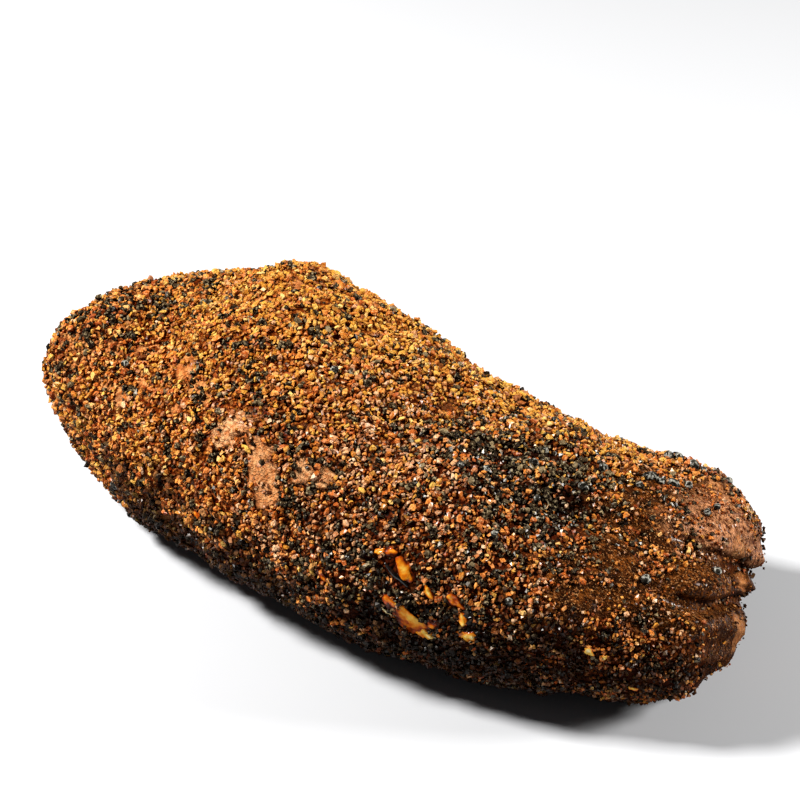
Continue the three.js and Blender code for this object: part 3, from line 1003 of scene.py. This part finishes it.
# %% Sockets as numbers
class Wire:
    """One output of a material's nodes, which sums and products add Math nodes to."""

    def __init__(self, finish, socket):
        self.finish = finish
        self.socket = socket

    def maths(self, operation, first, second):
        return self.finish.node("ShaderNodeMath", {"operation": operation}, {0: first, 1: second})

    def __add__(self, other):
        return self.maths("ADD", self, other)

    __radd__ = __add__

    def __sub__(self, other):
        return self.maths("SUBTRACT", self, other)

    def __rsub__(self, other):
        return self.maths("SUBTRACT", other, self)

    def __mul__(self, other):
        return self.maths("MULTIPLY", self, other)

    __rmul__ = __mul__

    def eased(self, low, high):
        """0 below low, 1 above high and smooth between."""
        return self.finish.node(
            "ShaderNodeMapRange",
            {"interpolation_type": "SMOOTHSTEP"},
            {"Value": self, "From Min": low, "From Max": high},
        )


# %% Colours and a material's nodes
def paint(red, green, blue):
    """A colour from the usual 0 to 255 numbers, made linear for the shader by the screen's curve."""
    shares = [value / 255 for value in (red, green, blue)]
    return (*[((s + 0.055) / 1.055) ** 2.4 if s > 0.04 else s / 12.92 for s in shares], 1.0)


class Finish:
    """A material with one Principled shader, and short ways to build what feeds it."""

    def __init__(self, name, **fixed):
        self.material = bpy.data.materials.new(name)
        self.material.use_nodes = True
        self.tree = self.material.node_tree
        self.shader = self.tree.nodes["Principled BSDF"]
        for key, value in fixed.items():
            socket = key.replace("_", " ").title().replace("Ior", "IOR")
            self.shader.inputs[socket].default_value = value

    def node(self, kind, settings=None, inputs=None, output=0):
        """A node of any kind: its settings first, then a value or a wire for each socket."""
        made = self.tree.nodes.new(kind)
        for key, value in (settings or {}).items():
            if key == "stops":
                self.set_stops(made.color_ramp, value)
            else:
                setattr(made, key, value)
        for key, value in (inputs or {}).items():
            if isinstance(value, Wire):
                self.tree.links.new(value.socket, made.inputs[key])
            else:
                made.inputs[key].default_value = value
        return Wire(self, made.outputs[output])

    def set_stops(self, ramp, stops):
        """Puts a ramp's stops at the given places, with a colour each."""
        while len(ramp.elements) < len(stops):
            ramp.elements.new(1.0)
        for element, (place, colour) in zip(ramp.elements, stops):
            element.position = place
            element.color = paint(*colour)

    def number(self, name):
        """A number that the mesh carries on its points."""
        return self.node("ShaderNodeAttribute", {"attribute_name": name}, output="Fac")

    def place(self):
        """The place on the piece, in metres."""
        return self.node("ShaderNodeTexCoord", output="Object")

    def looks_up(self):
        """1 where the surface looks up, -1 where it looks down."""
        normal = self.node("ShaderNodeTexCoord", output="Normal")
        return self.node("ShaderNodeSeparateXYZ", None, {0: normal}, "Z")

    def cloud(self, scale, detail=2.0, roughness=0.5, at=None):
        """Noise from 0 to 1 with so many blotches to a metre."""
        where = at or self.place()
        inputs = {"Vector": where, "Scale": scale, "Detail": detail, "Roughness": roughness}
        return self.node("ShaderNodeTexNoise", None, inputs)

    def mix(self, share, first, second):
        """A blend of two colours by a share from 0 to 1."""
        return self.node("ShaderNodeMix", {"data_type": "RGBA"}, {0: share, 6: first, 7: second}, 2)

    def mottled(self, first, second, limits, *cloud):
        """Two colours in blotches, passing from one to the other between two limits of a cloud."""
        return self.mix(self.cloud(*cloud).eased(*limits), paint(*first), paint(*second))

    def ramp(self, share, stops):
        """A colour that follows a share from 0 to 1 through some stops."""
        return self.node("ShaderNodeValToRGB", {"stops": stops}, {0: share})

    def cells(self, scale, output, settings=None):
        """A pattern of cells, about so many to a metre."""
        sockets = {"Vector": self.place(), "Scale": scale, "Randomness": 1.0}
        return self.node("ShaderNodeTexVoronoi", settings, sockets, output)

    def feed(self, name, wire):
        """Leads a wire into the shader."""
        self.tree.links.new(wire.socket, self.shader.inputs[name])

    def bump(self, height, strength, distance):
        """Small relief that only the light sees."""
        inputs = {"Height": height, "Strength": strength, "Distance": distance}
        self.feed("Normal", self.node("ShaderNodeBump", None, inputs))


# %% [markdown]
# ## The meat's finish
#
# Under the grains the meat is painted almost black: painted shade in the gaps between crumbs and on the
# shaded ground, and darker still low down, as juice stain and painted shade. It is rusty where the spice
# has rubbed in. Where it is bare it shows its own brown, in long fibres, with a thin wet gloss. The same
# mask that thinned out the grains now mixes the colours. A photograph could be laid over it instead, but
# it would bring its own light and stop at the side that the camera saw.

# %% The bed of crumbs under the grains
CRUMBS_A_METRE = 520
CRUMB_STOPS = [(0.0, (66, 17, 0)), (0.35, (108, 40, 5)), (0.7, (154, 72, 18)), (0.95, (200, 120, 48))]
# Painted shade: the colour of the gaps between crumbs, and of the shaded ground.
GAP_SHADE_COLOUR, SHADE_COLOUR = paint(80, 20, 0), paint(24, 9, 3)
RUBBED_COLOURS = (190, 106, 48), (236, 164, 100)


def crumb_bed(finish, to_middle):
    """Crumbs of many tones with painted shade in the gaps between them, nearly black in the shade and
    rusty where rubbed.
    """
    own = finish.node("ShaderNodeSeparateColor", None, {0: finish.cells(CRUMBS_A_METRE, "Color")}, 0)
    # The golden share pales the crumbs there too, partly a painted highlight on the top.
    tone = own + 0.25 * finish.number("golden") - 0.45 * finish.number("dark")
    bed = finish.mix(0.8 * to_middle.eased(0.25, 0.65), finish.ramp(tone, CRUMB_STOPS), GAP_SHADE_COLOUR)
    bed = finish.mix(0.85 * finish.number("shade"), bed, SHADE_COLOUR)
    ground = finish.mottled(*RUBBED_COLOURS, (0.3, 0.7), 500, 3)
    return finish.mix(0.85 * finish.number("rubbed"), bed, ground)


# %% Bare meat
FIBRE_COLOURS = paint(42, 15, 3), paint(160, 88, 30)
CREASE_SHADE_COLOUR, BLOTCH_COLOUR, GLINT_SPECK_COLOUR = paint(36, 11, 1), paint(36, 14, 4), paint(240, 170, 104)
PINK_COLOURS = (98, 39, 12), (248, 172, 120)
TAN_COLOURS, TAN_CREASE_SHADE = ((200, 118, 66), (253, 202, 146)), paint(132, 62, 24)
SPICED_COLOURS = (180, 98, 44), (230, 150, 84)


def brown_meat(finish, up, fibre, crease):
    """Wet brown fibre with blotches and painted shade in its folds, pinkish on the far lobe, with pale
    specks that are painted glints on faces that look up.
    """
    brown = finish.mix(fibre.eased(0.36, 0.66), *FIBRE_COLOURS)
    # Painted shade in the folds.
    brown = finish.mix(0.7 * crease, brown, CREASE_SHADE_COLOUR)
    brown = finish.mix(0.8 * finish.cloud(110, 4, 0.6).eased(0.42, 0.6), brown, BLOTCH_COLOUR)
    pink = finish.mottled(*PINK_COLOURS, (0.35, 0.65), 420, 3, 0.6)
    brown = finish.mix(finish.number("tip"), brown, pink)
    # Painted glints: pale specks only where the meat looks up.
    glint_specks = finish.cloud(1000, 2).eased(0.58, 0.66) * up.eased(-0.2, 0.5)
    return finish.mix(0.6 * glint_specks, brown, GLINT_SPECK_COLOUR)


def patch_meat(finish, crease):
    """The clean meat of a rubbed patch: tan with painted shade in fine creases, or orange where spice
    stains it.
    """
    tan = finish.mottled(*TAN_COLOURS, (0.35, 0.65), 520, 4, 0.65)
    # Painted shade in the fine creases of the patch.
    tan = finish.mix(0.45 * crease, tan, TAN_CREASE_SHADE)
    spiced = finish.mottled(*SPICED_COLOURS, (0.35, 0.65), 400, 3)
    return finish.mix(finish.number("pale"), spiced, tan)


# %% Finish of the meat
FIBRES_A_METRE = 800
WRINKLES_A_METRE = 230
LENGTHWISE = (0.45, 1.0, 1.0)
MEAT_RELIEF = 0.0020
# Painted shade low down, with juice stain: the colour that low parts are darkened towards.
JUICE_AND_SHADE_COLOUR, JUICE_AND_SHADE_STRENGTH = paint(14, 4, 1), 0.9
MEAT_SHADE_UNDERNEATH = paint(34, 9, 1)


def meat_finish():
    """A bed of fine crumbs under the grains, and brown glossy fibre where it is bare."""
    finish = Finish("roasted_meat", specular_ior_level=0.02, coat_roughness=0.22)
    bare, patch, up = finish.number("bare"), finish.number("patch"), finish.looks_up()
    to_middle = finish.cells(CRUMBS_A_METRE, "Distance")
    stretched = finish.node("ShaderNodeMapping", None, {"Vector": finish.place(), "Scale": LENGTHWISE})
    fibre = finish.cloud(FIBRES_A_METRE, 4, 0.65, stretched)
    folds = finish.cloud(WRINKLES_A_METRE, 3, 0.6, stretched)
    crease = folds.eased(0.44, 0.5) * (1 - folds.eased(0.5, 0.56))
    flesh = finish.mix(patch, brown_meat(finish, up, fibre, crease), patch_meat(finish, crease))
    colour = finish.mix(bare, crumb_bed(finish, to_middle), flesh)
    # Painted shade: faces of the meat that look down are darkened.
    colour = finish.mix(0.6 * (1 - up.eased(-0.3, 0.6)), colour, MEAT_SHADE_UNDERNEATH)
    # Low on the roast the meat is darkened: juice stain and painted shade.
    finish.feed("Base Color", finish.mix(JUICE_AND_SHADE_STRENGTH * finish.number("juice"), colour, JUICE_AND_SHADE_COLOUR))
    finish.feed("Roughness", 0.6 + 0.2 * finish.cloud(300, 2))
    wet = finish.cloud(900, 3).eased(0.45, 0.6) * up.eased(-0.1, 0.5) * finish.number("wet")
    finish.feed("Coat Weight", (0.1 + 0.3 * bare) * wet)
    speckle = finish.cloud(620, 4, 0.65)
    level = 0.5 * (1 - crease)
    on_patch = patch * (1.1 * speckle + level)
    on_fibre = (1 - patch) * bare * (1.2 * fibre + speckle + level)
    finish.bump(on_patch + on_fibre - 1.2 * to_middle * (1 - bare), 1.0, MEAT_RELIEF)
    return finish.material


meat.data.materials.append(meat_finish())

# %% [markdown]
# ## Finishes for the grains
#
# Each grain carries a random tone, so no two neighbours match, and its height above the meat. One flat
# colour for each kind would look like dyed beads. The low parts of each grain and its faces that look
# down are painted dark, as painted shade, which gives the deep gaps of the real crust. Low on the roast
# whole grains are painted darker too, as juice stain and painted shade.

# %% Finish of a kind of grain
GRAIN_TONES = (0.0, 0.5, 0.85, 1.0)
GRAIN_RELIEF = 0.0013


def grain_finish(name, colours, base, light, roughness=0.4, glint_flecks=0.5):
    """A grain's colour by its tone, with pale flecks that are partly painted glints, dark blotches, and
    painted shade towards its base and underneath.
    """
    finish = Finish(name, specular_ior_level=0.04, coat_roughness=0.26)
    up = finish.looks_up()
    colour = finish.ramp(finish.number("tone"), list(zip(GRAIN_TONES, colours)))
    # Pale flecks, partly specks on the grain and partly painted glints.
    colour = finish.mix(glint_flecks * finish.cloud(800, 3).eased(0.53, 0.62), colour, paint(*light))
    colour = finish.mix(0.5 * finish.cloud(900, 3).eased(0.52, 0.66), colour, paint(*base))
    # Painted shade: the low parts of the grain and its faces that look down take the dark base colour.
    low = 1 - finish.number("height").eased(-0.2, 1.6) * up.eased(-0.4, 0.5)
    colour = finish.mix(0.92 * low, colour, paint(*base))
    # Grains low on the roast are darkened: juice stain and painted shade.
    finish.feed("Base Color", finish.mix(JUICE_AND_SHADE_STRENGTH * finish.number("juice"), colour, JUICE_AND_SHADE_COLOUR))
    finish.feed("Roughness", roughness + 0.3 * finish.cloud(1800, 2))
    wet = finish.cloud(350, 2).eased(0.34, 0.52) * up.eased(-0.1, 0.4)
    finish.feed("Coat Weight", 0.5 * finish.number("wet") * wet)
    finish.bump(finish.cloud(1000, 3), 1.0, GRAIN_RELIEF)
    return finish.material


# %% The colours of each kind
# base is each kind's dark colour, for its dark blotches and for the painted shade at its base and
# underneath. light is the colour of its pale flecks, which are partly painted glints.
FINISHES = {
    "black_pepper": dict(
        colours=[(20, 9, 4), (40, 27, 14), (78, 62, 40), (144, 124, 90)],
        base=(22, 6, 1), light=(202, 182, 138), glint_flecks=0.55),
    "golden_chips": dict(
        colours=[(196, 126, 38), (226, 162, 60), (240, 188, 84), (252, 214, 130)],
        base=(128, 44, 0), light=(250, 210, 126)),
    "amber_chips": dict(
        colours=[(186, 104, 32), (220, 142, 54), (238, 172, 78), (250, 200, 118)],
        base=(122, 36, 0), light=(250, 202, 122)),
    "rusty_grains": dict(
        colours=[(150, 66, 22), (204, 106, 42), (228, 138, 66), (242, 172, 104)],
        base=(98, 23, 0), light=(250, 190, 128)),
    "orange_grains": dict(
        colours=[(186, 94, 30), (230, 138, 56), (246, 166, 80), (252, 194, 116)],
        base=(116, 32, 0), light=(255, 204, 136)),
    "brown_grains": dict(
        colours=[(84, 40, 16), (148, 80, 34), (190, 112, 56), (216, 146, 88)],
        base=(48, 12, 1), light=(222, 154, 98), roughness=0.42),
    "tan_crumbs": dict(
        colours=[(176, 106, 62), (222, 156, 104), (240, 184, 132), (252, 212, 168)],
        base=(88, 34, 8), light=(255, 226, 192), roughness=0.45),
}
for name in KINDS:
    made = grain_finish(name, **FINISHES[name])
    for size in sizes:
        pieces[size + name].data.materials.append(made)
print("finishes for grains:", len(FINISHES))

# %% [markdown]
# ## Peppercorns, fat and a dark strip
#
# A dried peppercorn is wrinkled like a raisin: pale ridges run between dark pits, pale partly as rubbed
# wear and partly as painted highlight, and its underside gets painted shade. Ridges this fine could be
# modelled, but bump shows them without a triangle more. The real fat has set clear, deep orange where it
# is thick and cream where light comes through it; here each lump is painted cream on top and dark at its
# rim, painted light and shade for that. The strip beside it is nearly black.

# %% Finish of the whole peppercorns
RIDGES_A_METRE = 430
SKIN_COLOURS, RIDGE_WEAR_AND_HIGHLIGHT, SKIN_SHADE_UNDERNEATH = ((20, 17, 13), (58, 55, 48)), paint(176, 174, 162), paint(12, 8, 5)
SKIN_RELIEF = 0.0008


def peppercorn_finish():
    """Dark skin with a net of paler ridges, pale as rubbed wear and as painted highlight, and painted
    shade underneath.
    """
    finish = Finish("peppercorn_skin", specular_ior_level=0.02, coat_roughness=0.25)
    to_edge = finish.cells(RIDGES_A_METRE, "Distance", {"feature": "DISTANCE_TO_EDGE"})
    ridge = 1 - to_edge.eased(0.0, 0.26)
    skin = finish.mottled(*SKIN_COLOURS, (0.4, 0.7), 500, 3)
    # The ridges are pale partly as rubbed wear and partly as painted highlight.
    skin = finish.mix(ridge * finish.cloud(300, 2).eased(0.4, 0.58), skin, RIDGE_WEAR_AND_HIGHLIGHT)
    # Painted shade: faces that look down are darkened.
    low = 1 - finish.looks_up().eased(-0.5, 0.4)
    finish.feed("Base Color", finish.mix(0.85 * low, skin, SKIN_SHADE_UNDERNEATH))
    finish.feed("Roughness", 0.35 + 0.2 * finish.cloud(900, 2))
    finish.feed("Coat Weight", 0.5 * finish.cloud(500, 2).eased(0.4, 0.6))
    finish.bump(ridge, 0.9, SKIN_RELIEF)
    return finish.material


pieces["whole_peppercorns"].data.materials.append(peppercorn_finish())

# %% Finishes of the fat and the strip
FAT_STOPS = [
    (0.0, (60, 14, 1)), (0.25, (170, 66, 4)), (0.5, (228, 132, 20)), (0.75, (236, 190, 76)),
    (1.0, (250, 232, 176)),
]
FAT_RELIEF, STRIP_RELIEF = 0.0008, 0.0005
STRIP_COLOURS = (10, 6, 5), (36, 16, 8)


def fat_finish():
    """Amber to cream by the lump's tone, clear and wet."""
    finish = Finish("set_fat", specular_ior_level=0.05, coat_roughness=0.12)
    tone = finish.number("tone") + 1.1 * (finish.cloud(300, 3) - 0.5)
    colour = finish.ramp(tone, FAT_STOPS)
    up = finish.looks_up()
    finish.feed("Coat Weight", finish.cloud(400, 2).eased(0.45, 0.6) * up.eased(-0.1, 0.4))
    # Low lumps are darkened a little: juice stain and painted shade.
    finish.feed("Base Color", finish.mix(0.5 * finish.number("juice"), colour, JUICE_AND_SHADE_COLOUR))
    finish.feed("Roughness", 0.25 + 0.2 * finish.cloud(500, 2))
    finish.bump(finish.cloud(500, 3), 0.5, FAT_RELIEF)
    return finish.material


def strip_finish():
    """Nearly black, with a sheen that breaks up along its length."""
    finish = Finish("dark_glossy_finish", specular_ior_level=0.1, coat_weight=0.8, coat_roughness=0.15)
    finish.feed("Base Color", finish.mottled(*STRIP_COLOURS, (0.4, 0.7), 300, 2))
    finish.feed("Roughness", 0.2 + 0.3 * finish.cloud(600, 2))
    finish.bump(finish.cloud(500, 2), 0.4, STRIP_RELIEF)
    return finish.material


fat.data.materials.append(fat_finish())
strip.data.materials.append(strip_finish())

# %% [markdown]
# ## Floor, light and camera
#
# The roast lies on a pale floor under studio light. A soft source on the camera's left, 48 degrees up,
# rakes over the grains and leaves the gaps between them black. A weaker one, low on the right, keeps
# the thin end from being lost. The camera looks from the photograph's own angle, with a long lens.

# %% The floor
FLOOR_SIZE = 12.0
FLOOR_COLOUR = paint(208, 211, 217)
floor_mesh = bpy.data.meshes.new("floor")
half = FLOOR_SIZE / 2
floor_corners = [(-half, -half, 0), (half, -half, 0), (half, half, 0), (-half, half, 0)]
floor_mesh.from_pydata(floor_corners, [], [(0, 1, 2, 3)])
floor = bpy.data.objects.new("floor", floor_mesh)
bpy.context.scene.collection.objects.link(floor)
floor_finish = Finish("pale_floor", roughness=0.9)
floor_finish.shader.inputs["Base Color"].default_value = FLOOR_COLOUR
floor.data.materials.append(floor_finish.material)

# %% The camera
AZIMUTH = math.radians(34.5)
ELEVATION = math.radians(36.0)
DISTANCE = 1.45
AIM = np.array([-29.3, 55.0, 60.0])
FOCAL_PIXELS = 2782.0
PICTURE_PIXELS = 800.0
SENSOR = 36.0

to_camera = np.array([
    math.sin(AZIMUTH) * math.cos(ELEVATION),
    -math.cos(AZIMUTH) * math.cos(ELEVATION),
    math.sin(ELEVATION),
])
camera_data = bpy.data.cameras.new("camera")
camera_data.sensor_width = SENSOR
camera_data.lens = SENSOR * FOCAL_PIXELS / PICTURE_PIXELS
camera = bpy.data.objects.new("camera", camera_data)
camera.location = tuple((AIM - MIDDLE) * MM + DISTANCE * to_camera)
camera.rotation_euler = (math.pi / 2 - ELEVATION, 0, AZIMUTH)
bpy.context.scene.collection.objects.link(camera)
bpy.context.scene.camera = camera
print("lens in mm:", round(camera_data.lens, 1))

# %% The lights
KEY_LIGHT = dict(azimuth=-62, elevation=48, distance=1.6, size=0.30, power=48)
BACK_LIGHT = dict(azimuth=122, elevation=24, distance=1.6, size=0.35, power=31)
LIGHT_COLOUR = (1.0, 0.97, 0.92)
ROOM_COLOUR = (1, 1, 1, 1)
ROOM_STRENGTH = 0.04


def area_light(name, azimuth, elevation, distance, size, power):
    """A square soft light, aimed at the roast from a direction round it in degrees."""
    data = bpy.data.lights.new(name, "AREA")
    data.size = size
    data.energy = power
    data.color = LIGHT_COLOUR
    light = bpy.data.objects.new(name, data)
    a, e = math.radians(azimuth), math.radians(elevation)
    way = np.array([math.sin(a) * math.cos(e), -math.cos(a) * math.cos(e), math.sin(e)])
    light.location = tuple(way * distance)
    light.rotation_euler = (math.pi / 2 - e, 0, a)
    bpy.context.scene.collection.objects.link(light)
    print(name, "light:", power, "W")


area_light("key", **KEY_LIGHT)
area_light("back", **BACK_LIGHT)
world = bpy.data.worlds.new("studio")
world.use_nodes = True
room = world.node_tree.nodes["Background"].inputs
room["Color"].default_value = ROOM_COLOUR
room["Strength"].default_value = ROOM_STRENGTH
bpy.context.scene.world = world
bpy.context.scene.view_settings.view_transform = "Standard"
